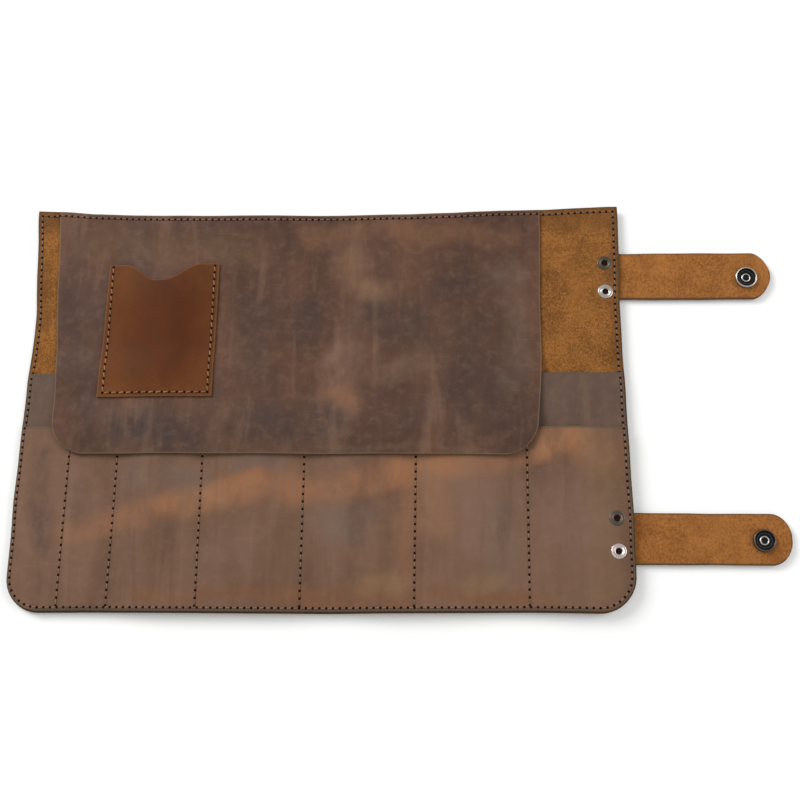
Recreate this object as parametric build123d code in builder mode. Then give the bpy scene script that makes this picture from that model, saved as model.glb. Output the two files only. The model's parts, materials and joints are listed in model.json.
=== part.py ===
"""Leather brush roll case, lying open: a shell with two rows of pockets, a flap, a card pocket and two straps.

The case rolls up from its left edge. Here the roll is two folds along lines between pockets, so each
leather layer is cut into a left, a middle and a right strip, and each strap into three runs.
"""

import os

from build123d import *

os.makedirs("parts", exist_ok=True)

# ---------------------------------------------------------------- driving dimensions, mm
# Case seen from above: X to the right, Y away, Z up. The origin is under the middle of the whole length.
CASE_TOP = 128.0
CASE_BOTTOM = -128.0
LEFT_EDGE_TOP = -232.5
LEFT_EDGE_BOTTOM = -228.5
RIGHT_EDGE_TOP = 140.3
RIGHT_EDGE_BOTTOM = 142.5
BOTTOM_CORNER_R = 21.0
TOP_CORNER_R = 2.0

BACK_PANEL_TOP = 20.0
FRONT_PANEL_TOP = -14.0

# Seams that part the pockets, left to right, and the two lines that the case folds on.
DIVIDERS = [-198.5, -168.5, -115.0, -53.3, 13.9, 81.1]
FOLD_LEFT_X = -110.5
FOLD_RIGHT_X = 11.4
FOLD_GAP = 0.5

SHELL_T = 1.8
PANEL_T = 1.4
FLAP_T = 1.6
CARD_T = 1.8
STRAP_T = 2.2
THREAD_W = 0.8
THREAD_H = 0.4

# The front pockets stand open by this much inside, so that a brush goes in.
POCKET_GAP = 4.8
POCKET_SHOULDER = 6.0
POCKET_SHOULDER_R = 4.0
POCKET_TAPER = 18.0
SEAM_LAND = 2.0
EDGE_LAND = 6.5
RIVET_LAND = 127.0

SEAM_INSET_SIDE = 2.9
SEAM_INSET_BOTTOM = 3.9
SEAM_INSET_TOP = 3.3

FLAP_LEFT_TOP = -219.2
FLAP_LEFT_BOTTOM = -208.3
FLAP_RIGHT = 91.1
FLAP_BOTTOM = -32.0
FLAP_CORNER_R = 20.0
FLAP_HINGE_Y = 115.75
FLAP_CLEARANCE = 0.3

CARD_LEFT = -182.5
CARD_RIGHT = -111.5
CARD_BOTTOM = 4.0
CARD_TOP = 91.5
CARD_SEAM_INSET = 2.3
CARD_SLOT = 0.6
NOTCH_LEFT = -167.5
NOTCH_RIGHT = -128.5
NOTCH_DEPTH = 12.0

STRAP_W = 31.0
STRAP_START = 119.0
STRAP_FIRST_BEND = 145.7
STRAP_SIDE_RUN = 38.5
STRAP_TIP = 232.5
STRAP_CENTRES = {"top": 81.7, "bottom": -81.8}
STRAP_TIP_R = {"top": 11.0, "bottom": 14.0}

SNAP_X = 218.5
STUD_X = 2 * FOLD_RIGHT_X - (2 * STRAP_FIRST_BEND + STRAP_SIDE_RUN - SNAP_X)
CAP_R = 7.2
CAP_H = 1.3
SOCKET_R = 6.7
SOCKET_H = 2.2
SOCKET_BASE = 0.6
SOCKET_BORE_R = 4.4
SNAP_POST_R = 2.0
STUD_R = 4.1
STUD_FLANGE_R = 5.2
STUD_FLANGE_H = 0.6
STUD_H = 2.6
STUD_HOLLOW_R = 3.1
STUD_POST_R = 1.8
STUD_HEAD_R = 4.0
STUD_HEAD_H = 0.5

RIVET_R = 4.5
RIVET_TUBE_R = 2.5
RIVET_HOLE_R = 1.95
RIVET_ROLL_H = 0.8
RIVET_CAP_R = 4.8
RIVETS = {"top": [(131.4, 91.5), (131.3, 72.6)], "bottom": [(132.9, -69.6), (133.2, -89.0)]}

# ---------------------------------------------------------------- levels, mm
STRAP_Z = CAP_H
SHELL_Z = STRAP_Z + STRAP_T
BACK_Z = SHELL_Z + SHELL_T
FRONT_Z = BACK_Z + PANEL_T
FRONT_TOP_Z = FRONT_Z + PANEL_T
FLAP_HIGH_Z = FRONT_TOP_Z + POCKET_GAP + FLAP_CLEARANCE
FLAP_MID_Z = FRONT_Z + 1.0
FLAP_LOW_Z = BACK_Z + FLAP_CLEARANCE

FAR = 300.0
HALF_GAP = FOLD_GAP / 2
STRIPS = {
    "left": (-FAR, FOLD_LEFT_X - HALF_GAP),
    "middle": (FOLD_LEFT_X + HALF_GAP, FOLD_RIGHT_X - HALF_GAP),
    "right": (FOLD_RIGHT_X + HALF_GAP, FAR),
}
STRIP_DIVIDERS = {"left": DIVIDERS[:3], "middle": DIVIDERS[3:4], "right": DIVIDERS[4:]}

# Each pocket's feet, where its front leaves the back panel.
FOLD_LAND = 1.8
POCKET_FEET = {
    "left": [
        (LEFT_EDGE_BOTTOM + EDGE_LAND, DIVIDERS[0] - SEAM_LAND),
        (DIVIDERS[0] + SEAM_LAND, DIVIDERS[1] - SEAM_LAND),
        (DIVIDERS[1] + SEAM_LAND, DIVIDERS[2] - SEAM_LAND),
    ],
    "middle": [
        (FOLD_LEFT_X + FOLD_LAND, DIVIDERS[3] - SEAM_LAND),
        (DIVIDERS[3] + SEAM_LAND, FOLD_RIGHT_X - FOLD_LAND),
    ],
    "right": [
        (DIVIDERS[4] + SEAM_LAND, DIVIDERS[5] - SEAM_LAND),
        (DIVIDERS[5] + SEAM_LAND, RIVET_LAND),
    ],
}


# Distance up the case and pocket gap there: shut above the bottom seam, fully open from the taper's end on.
BOTTOM_LAND_TOP = CASE_BOTTOM + 12.0
POCKET_STATIONS = [
    (BOTTOM_LAND_TOP - 0.5, 0.4),
    (BOTTOM_LAND_TOP + POCKET_TAPER, POCKET_GAP),
    (FRONT_PANEL_TOP, POCKET_GAP),
]


# ---------------------------------------------------------------- shared shapes
def finish(builder, name):
    """Label a finished piece and write it."""
    builder.part.label = name
    export_step(builder.part, f"parts/{name}.step")


def side_x(top_x, bottom_x, y, top_y=CASE_TOP, bottom_y=CASE_BOTTOM):
    """X of a straight, slightly leaning side at a height y."""
    share = (y - bottom_y) / (top_y - bottom_y)
    return bottom_x + (top_x - bottom_x) * share


def case_plan(top_y, corner_r, inset_side=0.0, inset_bottom=0.0):
    """Plan of a layer with the case's own sides and bottom edge, up to top_y."""
    bottom_r = BOTTOM_CORNER_R - (inset_side + inset_bottom) / 2
    left_top = side_x(LEFT_EDGE_TOP, LEFT_EDGE_BOTTOM, top_y) + inset_side
    right_top = side_x(RIGHT_EDGE_TOP, RIGHT_EDGE_BOTTOM, top_y) - inset_side
    with BuildSketch() as plan:
        with BuildLine():
            FilletPolyline(
                (left_top, top_y),
                (LEFT_EDGE_BOTTOM + inset_side, CASE_BOTTOM + inset_bottom),
                (RIGHT_EDGE_BOTTOM - inset_side, CASE_BOTTOM + inset_bottom),
                (right_top, top_y),
                radius=[corner_r, bottom_r, bottom_r, corner_r],
                close=True,
            )
        make_face()
    return plan.sketch


def flap_plan():
    """Plan of the flap, seam band included."""
    with BuildSketch() as plan:
        with BuildLine():
            FilletPolyline(
                (FLAP_LEFT_TOP, CASE_TOP),
                (FLAP_LEFT_BOTTOM, FLAP_BOTTOM),
                (FLAP_RIGHT, FLAP_BOTTOM),
                (FLAP_RIGHT, CASE_TOP),
                radius=[0, FLAP_CORNER_R, FLAP_CORNER_R, 0],
                close=True,
            )
        make_face()
    return plan.sketch


def strip_block(strip):
    """Sketch that keeps only one strip's share of a plan."""
    x_low, x_high = STRIPS[strip]
    with BuildSketch() as block:
        with Locations(((x_low + x_high) / 2, 0)):
            Rectangle(x_high - x_low, 2 * FAR)
    return block.sketch


def flap_profile(lift, thickness):
    """Side view of a layer on the flap: over the front pockets, down behind them, along to the hinge."""
    line = [
        (FLAP_BOTTOM - 1, FLAP_HIGH_Z + lift),
        (FRONT_PANEL_TOP + 6, FLAP_HIGH_Z + lift),
        (BACK_PANEL_TOP + 10, FLAP_MID_Z + lift),
        (FLAP_HINGE_Y - HALF_GAP, FLAP_LOW_Z + lift),
    ]
    over = [(y, z + thickness) for y, z in reversed(line)]
    return line + over, [0, 45, 60, 0, 0, 60, 45, 0]


def pocket_section(feet, x_low, x_high, gap):
    """Corners of a pocket panel's cross section: flat on its seams and raised by gap between them."""
    line = [(x_low, FRONT_Z)]
    for left, right in feet:
        line += [(left, FRONT_Z), (left + POCKET_SHOULDER, FRONT_Z + gap)]
        line += [(right - POCKET_SHOULDER, FRONT_Z + gap), (right, FRONT_Z)]
    line.append((x_high, FRONT_Z))
    over = [(x, z + PANEL_T) for x, z in reversed(line)]
    bends = [0] + [POCKET_SHOULDER_R] * (len(line) - 2) + [0]
    return line + over, bends + bends


def stairs_profile(y_low, y_high):
    """Side view of a thread that runs up the case, stepping down at the top edge of each panel."""
    steps = [(y_low, FRONT_TOP_Z), (FRONT_PANEL_TOP, FRONT_TOP_Z), (FRONT_PANEL_TOP, FRONT_Z)]
    if y_high > BACK_PANEL_TOP:
        steps += [(BACK_PANEL_TOP, FRONT_Z), (BACK_PANEL_TOP, BACK_Z)]
    steps.append((y_high, steps[-1][1]))
    over = [(y + THREAD_H, z + THREAD_H) for y, z in steps[1:-1]]
    start_over = (y_low, FRONT_TOP_Z + THREAD_H)
    end_over = (y_high, steps[-1][1] + THREAD_H)
    return steps + [end_over] + over[::-1] + [start_over]


# ---------------------------------------------------------------- leather layers, one strip at a time
CASE_SHAPE = case_plan(CASE_TOP, TOP_CORNER_R)
BACK_SHAPE = case_plan(BACK_PANEL_TOP, 1.0)
FRONT_SHAPE = case_plan(FRONT_PANEL_TOP, 1.0)
FLAP_SHAPE = flap_plan()
UPPER_RIVETS = RIVETS["top"]
LOWER_RIVETS = RIVETS["bottom"]

for strip in STRIPS:
    strip_shape = strip_block(strip)
    strip_low, strip_high = STRIPS[strip]

    # Outer shell: the one big hide that everything is sewn to.
    with BuildPart() as shell:
        with BuildSketch(Plane.XY.offset(SHELL_Z)):
            add(CASE_SHAPE)
            add(strip_shape, mode=Mode.INTERSECT)
        extrude(amount=SHELL_T)
        if strip == "right":
            with Locations(*[(x, y, SHELL_Z) for x, y in UPPER_RIVETS + LOWER_RIVETS]):
                Cylinder(
                    RIVET_TUBE_R,
                    SHELL_T,
                    align=(Align.CENTER, Align.CENTER, Align.MIN),
                    mode=Mode.SUBTRACT,
                )
        if strip == "middle":
            with Locations(*[(STUD_X, y, SHELL_Z) for y in STRAP_CENTRES.values()]):
                Cylinder(
                    STUD_POST_R,
                    SHELL_T,
                    align=(Align.CENTER, Align.CENTER, Align.MIN),
                    mode=Mode.SUBTRACT,
                )
    finish(shell, f"outer_shell_{strip}")

    # Back pocket panel: the taller one, flat on the shell.
    with BuildPart() as back_panel:
        with BuildSketch(Plane.XY.offset(BACK_Z)):
            add(BACK_SHAPE)
            add(strip_shape, mode=Mode.INTERSECT)
        extrude(amount=PANEL_T)
        if strip == "right":
            with Locations(*[(x, y, BACK_Z) for x, y in LOWER_RIVETS]):
                Cylinder(
                    RIVET_TUBE_R,
                    PANEL_T,
                    align=(Align.CENTER, Align.CENTER, Align.MIN),
                    mode=Mode.SUBTRACT,
                )
        # The lower stud post's head sits in a dimple between shell and panel.
        if strip == "middle":
            with Locations((STUD_X, STRAP_CENTRES["bottom"], BACK_Z)):
                Cylinder(
                    STUD_HEAD_R + 0.1,
                    STUD_HEAD_H,
                    align=(Align.CENTER, Align.CENTER, Align.MIN),
                    mode=Mode.SUBTRACT,
                )
    finish(back_panel, f"back_pocket_panel_{strip}")

    # Front pocket panel: the shorter one, raised between its seams.
    section_low = max(strip_low, LEFT_EDGE_TOP - 5)
    section_high = min(strip_high, RIGHT_EDGE_BOTTOM + 5)
    with BuildPart() as front_panel:
        for y, gap in POCKET_STATIONS:
            corners, bends = pocket_section(POCKET_FEET[strip], section_low, section_high, gap)
            with BuildSketch(Plane.XZ.offset(-y)):
                with BuildLine():
                    FilletPolyline(*corners, radius=bends, close=True)
                make_face()
        loft(ruled=True)
        with Locations((0, CASE_BOTTOM, FRONT_Z)):
            Box(2 * FAR, BOTTOM_LAND_TOP - CASE_BOTTOM, PANEL_T, align=(Align.CENTER, Align.MIN, Align.MIN))
        with BuildSketch(Plane.XY.offset(FRONT_Z)):
            add(FRONT_SHAPE)
            add(strip_shape, mode=Mode.INTERSECT)
            if strip == "right":
                with Locations(*LOWER_RIVETS):
                    Circle(RIVET_TUBE_R, mode=Mode.SUBTRACT)
        extrude(amount=PANEL_T + POCKET_GAP, mode=Mode.INTERSECT)
    finish(front_panel, f"front_pocket_panel_{strip}")

    # Flap, sewn to the shell along its top band and free to swing up from the band's lower edge.
    with BuildPart() as flap_band:
        with BuildSketch(Plane.XY.offset(BACK_Z)):
            add(FLAP_SHAPE)
            add(strip_shape, mode=Mode.INTERSECT)
            with Locations((0, FLAP_HINGE_Y + HALF_GAP + FAR / 2)):
                Rectangle(2 * FAR, FAR, mode=Mode.INTERSECT)
        extrude(amount=FLAP_T)
    finish(flap_band, f"flap_seam_band_{strip}")

    with BuildPart() as flap_cover:
        corners, bends = flap_profile(0, FLAP_T)
        with BuildSketch(Plane.YZ):
            with BuildLine():
                FilletPolyline(*corners, radius=bends, close=True)
            make_face()
        extrude(amount=FAR, both=True)
        with BuildSketch():
            add(FLAP_SHAPE)
            add(strip_shape, mode=Mode.INTERSECT)
        extrude(amount=FAR, mode=Mode.INTERSECT)
    finish(flap_cover, f"flap_cover_{strip}")

    # Thread that sews each divider, standing a little proud of the leather.
    with BuildPart() as divider_seam:
        with BuildSketch(Plane.YZ):
            with BuildLine():
                Polyline(*stairs_profile(CASE_BOTTOM + SEAM_INSET_BOTTOM + THREAD_W, BACK_PANEL_TOP), close=True)
            make_face()
        extrude(amount=FAR, both=True)
        with BuildSketch():
            with Locations(*[(x, 0) for x in STRIP_DIVIDERS[strip]]):
                Rectangle(THREAD_W, 2 * FAR)
        extrude(amount=FAR, mode=Mode.INTERSECT)
    finish(divider_seam, f"divider_seam_{strip}")

    # Thread round the case's edge: up both sides, along the bottom, and along the top over the flap's band.
    with BuildPart() as edge_seam:
        with BuildSketch(Plane.YZ):
            with BuildLine():
                Polyline(*stairs_profile(CASE_BOTTOM, CASE_TOP), close=True)
            make_face()
        extrude(amount=FAR, both=True)
        with BuildSketch():
            add(case_plan(CASE_TOP - SEAM_INSET_TOP, 1.0, SEAM_INSET_SIDE, SEAM_INSET_BOTTOM))
            add(
                case_plan(
                    CASE_TOP - SEAM_INSET_TOP - THREAD_W,
                    1.0,
                    SEAM_INSET_SIDE + THREAD_W,
                    SEAM_INSET_BOTTOM + THREAD_W,
                ),
                mode=Mode.SUBTRACT,
            )
            add(strip_shape, mode=Mode.INTERSECT)
        extrude(amount=FAR, mode=Mode.INTERSECT)
        band_box = flap_band.part.bounding_box()
        seam_y = CASE_TOP - SEAM_INSET_TOP - THREAD_W / 2
        seam_middle = ((band_box.min.X + band_box.max.X) / 2, seam_y, BACK_Z)
        with Locations(seam_middle):
            Box(
                band_box.size.X,
                THREAD_W,
                FLAP_T,
                align=(Align.CENTER, Align.CENTER, Align.MIN),
                mode=Mode.SUBTRACT,
            )
        top_low = max(strip_low, band_box.min.X - THREAD_H)
        top_high = min(strip_high, band_box.max.X + THREAD_H)
        with Locations(((top_low + top_high) / 2, seam_y, BACK_Z + FLAP_T)):
            Box(top_high - top_low, THREAD_W, THREAD_H, align=(Align.CENTER, Align.CENTER, Align.MIN))
    finish(edge_seam, f"edge_seam_{strip}")


# ---------------------------------------------------------------- card pocket on the flap
# Slot between the card pocket and the flap, open at the top, as deep as a few cards.
with BuildPart() as card_slot:
    corners, bends = flap_profile(FLAP_T, CARD_SLOT)
    with BuildSketch(Plane.YZ):
        with BuildLine():
            FilletPolyline(*corners, radius=bends, close=True)
        make_face()
    extrude(amount=FAR, both=True)
    slot_inset = 2 * CARD_SEAM_INSET
    slot_width = CARD_RIGHT - CARD_LEFT - 2 * slot_inset
    with BuildSketch():
        with Locations(((CARD_LEFT + CARD_RIGHT) / 2, CARD_BOTTOM + slot_inset)):
            Rectangle(slot_width, FAR, align=(Align.CENTER, Align.MIN))
    extrude(amount=FAR, mode=Mode.INTERSECT)

with BuildPart() as card_pocket:
    corners, bends = flap_profile(FLAP_T, CARD_T)
    with BuildSketch(Plane.YZ):
        with BuildLine():
            FilletPolyline(*corners, radius=bends, close=True)
        make_face()
    extrude(amount=FAR, both=True)
    with BuildSketch():
        with BuildLine():
            FilletPolyline(
                (CARD_LEFT, CARD_TOP),
                (CARD_LEFT, CARD_BOTTOM),
                (CARD_RIGHT, CARD_BOTTOM),
                (CARD_RIGHT, CARD_TOP),
                (NOTCH_RIGHT, CARD_TOP),
                (NOTCH_RIGHT - NOTCH_DEPTH, CARD_TOP - NOTCH_DEPTH),
                (NOTCH_LEFT + NOTCH_DEPTH, CARD_TOP - NOTCH_DEPTH),
                (NOTCH_LEFT, CARD_TOP),
                radius=[1, 3, 3, 1, 3, 8, 8, 3],
                close=True,
            )
        make_face()
    extrude(amount=FAR, mode=Mode.INTERSECT)
    add(card_slot.part, mode=Mode.SUBTRACT)
finish(card_pocket, "card_pocket")

with BuildPart() as card_seam:
    corners, bends = flap_profile(FLAP_T + CARD_T, THREAD_H)
    with BuildSketch(Plane.YZ):
        with BuildLine():
            FilletPolyline(*corners, radius=bends, close=True)
        make_face()
    extrude(amount=FAR, both=True)
    seam_width = CARD_RIGHT - CARD_LEFT - 2 * CARD_SEAM_INSET
    seam_height = CARD_TOP - CARD_BOTTOM - 2 * CARD_SEAM_INSET
    with BuildSketch():
        with Locations(((CARD_LEFT + CARD_RIGHT) / 2, CARD_BOTTOM + CARD_SEAM_INSET)):
            Rectangle(seam_width, seam_height, align=(Align.CENTER, Align.MIN))
        with Locations(((CARD_LEFT + CARD_RIGHT) / 2, CARD_BOTTOM + CARD_SEAM_INSET + THREAD_W)):
            Rectangle(seam_width - 2 * THREAD_W, seam_height, align=(Align.CENTER, Align.MIN), mode=Mode.SUBTRACT)
    extrude(amount=FAR, mode=Mode.INTERSECT)
finish(card_seam, "card_pocket_seam")


# ---------------------------------------------------------------- straps and their snaps
SECOND_BEND = STRAP_FIRST_BEND + STRAP_SIDE_RUN

for side, strap_y in STRAP_CENTRES.items():
    # The run that is riveted under the shell's right edge.
    base_length = STRAP_FIRST_BEND - HALF_GAP - STRAP_START
    with BuildPart() as strap_base:
        with BuildSketch(Plane.XY.offset(STRAP_Z)):
            with Locations((STRAP_START + base_length / 2, strap_y)):
                base_outline = Rectangle(base_length, STRAP_W)
            fillet(base_outline.vertices().group_by(Axis.X)[0], radius=6)
            with Locations(*RIVETS[side]):
                Circle(RIVET_TUBE_R, mode=Mode.SUBTRACT)
        extrude(amount=STRAP_T)
    finish(strap_base, f"{side}_strap_base")

    # The run that stands up the side of the rolled case.
    with BuildPart() as strap_side:
        with Locations((STRAP_FIRST_BEND + STRAP_SIDE_RUN / 2, strap_y, STRAP_Z)):
            Box(STRAP_SIDE_RUN - FOLD_GAP, STRAP_W, STRAP_T, align=(Align.CENTER, Align.CENTER, Align.MIN))
    finish(strap_side, f"{side}_strap_side")

    # The run that lies over the rolled case and carries the snap.
    end_start = SECOND_BEND + HALF_GAP
    with BuildPart() as strap_end:
        with BuildSketch(Plane.XY.offset(STRAP_Z)):
            with Locations(((end_start + STRAP_TIP) / 2, strap_y)):
                end_outline = Rectangle(STRAP_TIP - end_start, STRAP_W)
            fillet(end_outline.vertices().group_by(Axis.X)[-1], radius=STRAP_TIP_R[side])
            with Locations((SNAP_X, strap_y)):
                Circle(SNAP_POST_R, mode=Mode.SUBTRACT)
        extrude(amount=STRAP_T)
    finish(strap_end, f"{side}_strap_end")

    # Snap cap: a domed head outside the strap with a hollow post rolled over inside the socket.
    post_top = SHELL_Z + SOCKET_BASE
    with BuildPart() as snap_cap:
        with Locations((SNAP_X, strap_y, 0)):
            Cylinder(CAP_R, CAP_H, align=(Align.CENTER, Align.CENTER, Align.MIN))
        fillet(snap_cap.edges().group_by(Axis.Z)[0], radius=0.8)
        with Locations((SNAP_X, strap_y, CAP_H)):
            Cylinder(SNAP_POST_R, post_top - CAP_H, align=(Align.CENTER, Align.CENTER, Align.MIN))
        with Locations((SNAP_X, strap_y, post_top)):
            Cylinder(SNAP_POST_R + 0.8, 0.6, align=(Align.CENTER, Align.CENTER, Align.MIN))
        fillet(snap_cap.edges().group_by(Axis.Z)[-1], radius=0.3)
        with Locations((SNAP_X, strap_y, CAP_H)):
            Cylinder(SNAP_POST_R - 0.7, FAR, align=(Align.CENTER, Align.CENTER, Align.MIN), mode=Mode.SUBTRACT)
    finish(snap_cap, f"{side}_snap_cap")

    # Snap socket on the strap's inner face, a ring that clips over a stud.
    with BuildPart() as snap_socket:
        with Locations((SNAP_X, strap_y, SHELL_Z)):
            Cylinder(SOCKET_R, SOCKET_H, align=(Align.CENTER, Align.CENTER, Align.MIN))
            Cylinder(
                SNAP_POST_R, SOCKET_H, align=(Align.CENTER, Align.CENTER, Align.MIN), mode=Mode.SUBTRACT
            )
        with Locations((SNAP_X, strap_y, post_top)):
            Cylinder(
                SOCKET_BORE_R, SOCKET_H, align=(Align.CENTER, Align.CENTER, Align.MIN), mode=Mode.SUBTRACT
            )
        fillet(snap_socket.edges().group_by(Axis.Z)[-1], radius=0.6)
    finish(snap_socket, f"{side}_snap_socket")


# ---------------------------------------------------------------- rivets that hold the straps
with BuildPart() as rivet_caps:
    with Locations(*[(x, y, 0) for x, y in UPPER_RIVETS + LOWER_RIVETS]):
        Cylinder(RIVET_CAP_R, CAP_H, align=(Align.CENTER, Align.CENTER, Align.MIN))
    fillet(rivet_caps.edges().group_by(Axis.Z)[0], radius=0.7)
finish(rivet_caps, "strap_rivet_caps")

# Each post is a tube through the strap and the leather, rolled over on the inside of the case.
with BuildPart() as rivet_posts:
    for spots, leather_top in ((UPPER_RIVETS, BACK_Z), (LOWER_RIVETS, FRONT_TOP_Z)):
        with Locations(*[(x, y, leather_top) for x, y in spots]):
            Cylinder(RIVET_R, RIVET_ROLL_H, align=(Align.CENTER, Align.CENTER, Align.MIN))
        rolls = rivet_posts.faces().filter_by(Axis.Z).filter_by(
            lambda face: abs(face.center().Z - leather_top - RIVET_ROLL_H) < 0.01
        )
        fillet(rolls.edges(), radius=0.6)
        with Locations(*[(x, y, STRAP_Z) for x, y in spots]):
            Cylinder(RIVET_TUBE_R, leather_top - STRAP_Z, align=(Align.CENTER, Align.CENTER, Align.MIN))
    with Locations(*[(x, y, STRAP_Z) for x, y in UPPER_RIVETS + LOWER_RIVETS]):
        Cylinder(RIVET_HOLE_R, FAR, align=(Align.CENTER, Align.CENTER, Align.MIN), mode=Mode.SUBTRACT)
finish(rivet_posts, "strap_rivet_posts")


# ---------------------------------------------------------------- studs on the outside of the middle strip
with BuildPart() as snap_studs:
    with Locations(*[(STUD_X, y, SHELL_Z) for y in STRAP_CENTRES.values()]):
        Cylinder(STUD_R, STUD_H, align=(Align.CENTER, Align.CENTER, Align.MAX))
    fillet(snap_studs.edges().group_by(Axis.Z)[0], radius=0.5)
    with Locations(*[(STUD_X, y, SHELL_Z) for y in STRAP_CENTRES.values()]):
        Cylinder(STUD_FLANGE_R, STUD_FLANGE_H, align=(Align.CENTER, Align.CENTER, Align.MAX))
        Cylinder(STUD_POST_R, STUD_H, align=(Align.CENTER, Align.CENTER, Align.MAX), mode=Mode.SUBTRACT)
    with Locations(*[(STUD_X, y, SHELL_Z - STUD_FLANGE_H) for y in STRAP_CENTRES.values()]):
        Cylinder(STUD_HOLLOW_R, STUD_H, align=(Align.CENTER, Align.CENTER, Align.MAX), mode=Mode.SUBTRACT)
finish(snap_studs, "snap_studs")

with BuildPart() as stud_posts:
    with Locations(*[(STUD_X, y, BACK_Z) for y in STRAP_CENTRES.values()]):
        Cylinder(STUD_HEAD_R, STUD_HEAD_H, align=(Align.CENTER, Align.CENTER, Align.MIN))
        Cylinder(
            STUD_POST_R, SHELL_T + STUD_FLANGE_H, align=(Align.CENTER, Align.CENTER, Align.MAX)
        )
    with Locations(*[(STUD_X, y, SHELL_Z - STUD_FLANGE_H) for y in STRAP_CENTRES.values()]):
        Cylinder(STUD_POST_R + 0.8, 0.5, align=(Align.CENTER, Align.CENTER, Align.MAX))
finish(stud_posts, "snap_stud_posts")
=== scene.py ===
"""Looks of the leather brush roll case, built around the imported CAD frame.

Lengths are in millimetres until mesh() scales them to metres. X runs right, Y away and Z up.
"""

import json
import math

import bpy
import numpy as np
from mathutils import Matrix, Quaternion, Vector


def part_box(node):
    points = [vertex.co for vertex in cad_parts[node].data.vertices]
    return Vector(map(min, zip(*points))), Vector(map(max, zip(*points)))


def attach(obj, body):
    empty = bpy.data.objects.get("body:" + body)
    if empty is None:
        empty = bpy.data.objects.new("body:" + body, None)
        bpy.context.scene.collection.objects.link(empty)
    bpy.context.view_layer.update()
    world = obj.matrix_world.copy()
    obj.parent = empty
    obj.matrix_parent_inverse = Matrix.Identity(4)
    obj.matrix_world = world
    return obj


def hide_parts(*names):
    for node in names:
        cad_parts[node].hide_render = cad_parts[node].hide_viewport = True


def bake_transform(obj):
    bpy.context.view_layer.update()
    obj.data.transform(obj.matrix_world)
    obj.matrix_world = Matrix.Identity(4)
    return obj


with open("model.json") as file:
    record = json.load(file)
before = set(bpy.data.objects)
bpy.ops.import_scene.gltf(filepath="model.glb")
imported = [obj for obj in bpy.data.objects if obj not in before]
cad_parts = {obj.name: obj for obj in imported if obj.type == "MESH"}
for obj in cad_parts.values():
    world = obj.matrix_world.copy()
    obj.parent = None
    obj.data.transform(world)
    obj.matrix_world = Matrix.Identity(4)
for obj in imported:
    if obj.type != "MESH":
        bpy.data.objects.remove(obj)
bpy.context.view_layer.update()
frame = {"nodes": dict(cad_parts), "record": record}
MM = 0.001


# ---------------- places taken from the frame
def box(node):
    """A node's lowest and highest corners, in mm."""
    low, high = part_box(node)
    return [v / MM for v in low], [v / MM for v in high]


def hinge(name):
    """Where a joint's axis passes, in mm."""
    joint = next(j for j in frame["record"]["behaviour"]["joints"] if j["name"] == name)
    return [v / MM for v in joint["pos_m"]]


def centres(node, count):
    """Middles of a node's separate solids, from the groups its vertices fall into, in mm."""
    mesh = frame["nodes"][node].data
    points = [v.co / MM for v in mesh.vertices]
    groups = []
    for p in sorted(points, key=lambda q: (round(q.y), q.x)):
        near = next((g for g in groups if abs(g[0].y - p.y) < 11 and abs(g[0].x - p.x) < 14), None)
        if near is None:
            groups.append([p])
        else:
            near.append(p)
    middles = []
    for g in groups:
        xs, ys = [p.x for p in g], [p.y for p in g]
        middles.append(((min(xs) + max(xs)) / 2, (min(ys) + max(ys)) / 2, max(p.z for p in g)))
    assert len(middles) == count, (node, len(middles))
    return middles


def seam_places():
    """X of each divider seam, left to right: the middles of the groups that the seams' vertices form."""
    seams = [frame["nodes"][f"divider_seam_{strip}"] for strip in ("left", "middle", "right")]
    xs = np.sort([v.co.x / MM for seam in seams for v in seam.data.vertices])
    groups = np.split(xs, np.flatnonzero(np.diff(xs) > 10) + 1)
    return [round(float(g[0] + g[-1]) / 2, 1) for g in groups]


SHELL_LOW, SHELL_HIGH = box("outer_shell_left")
CASE_BOTTOM, CASE_TOP = SHELL_LOW[1], SHELL_HIGH[1]
LEFT_TOP = round(SHELL_LOW[0], 1)
RIGHT_BOTTOM = box("outer_shell_right")[1][0]
# How far the left side's foot and the right side's head stand off in X from their other ends.
SIDE_LEAN_LEFT = 4.0
SIDE_LEAN_RIGHT = -2.2
CORNER_R = 21.0

SHELL_Z = SHELL_LOW[2]
BACK_Z = SHELL_HIGH[2]
FRONT_Z = box("back_pocket_panel_left")[1][2]
BACK_TOP_Y = box("back_pocket_panel_left")[1][1]
FRONT_TOP_Y = box("front_pocket_panel_left")[1][1]
PANEL_T = FRONT_Z - BACK_Z
FLAP_BOTTOM = box("flap_cover_left")[0][1]
FLAP_T = box("flap_seam_band_left")[1][2] - BACK_Z
FLAP_RIGHT = box("flap_cover_right")[1][0]
# The flap's right side draws in towards its foot, and its left side leans.
FLAP_RIGHT_DRAW = 3.6
FLAP_LEFT_TOP = -219.2
FLAP_LEFT_BOTTOM = -208.3
FLAP_CORNER_R = 20.0
CARD_LOW, CARD_HIGH = box("card_pocket")
CARD_T = 1.5

FOLD_LEFT = hinge("fold_left_line")
FOLD_RIGHT = hinge("fold_right_line")
FLAP_HINGE = hinge("flap_swing")
BAND_Y = FLAP_HINGE[1] + 3.5
DIVIDERS = seam_places()
# Where each layer's left and right halves meet, under a seam.
SPLIT_X = DIVIDERS[3]
RIVETS = centres("strap_rivet_caps", 4)
STUDS = centres("snap_studs", 2)
STRAP_ENDS = {side: box(f"{side}_strap_end") for side in ("top", "bottom")}
STRAPS = {side: (low[1] + high[1]) / 2 for side, (low, high) in STRAP_ENDS.items()}
STRAP_LOW, STRAP_HIGH = box("top_strap_base")
STRAP_TIP = STRAP_ENDS["top"][1][0]
STRAP_HALF = (STRAP_HIGH[1] - STRAP_LOW[1]) / 2
SNAP_LOW, SNAP_HIGH = box("top_snap_cap")
SNAP_X = (SNAP_LOW[0] + SNAP_HIGH[0]) / 2

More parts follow.
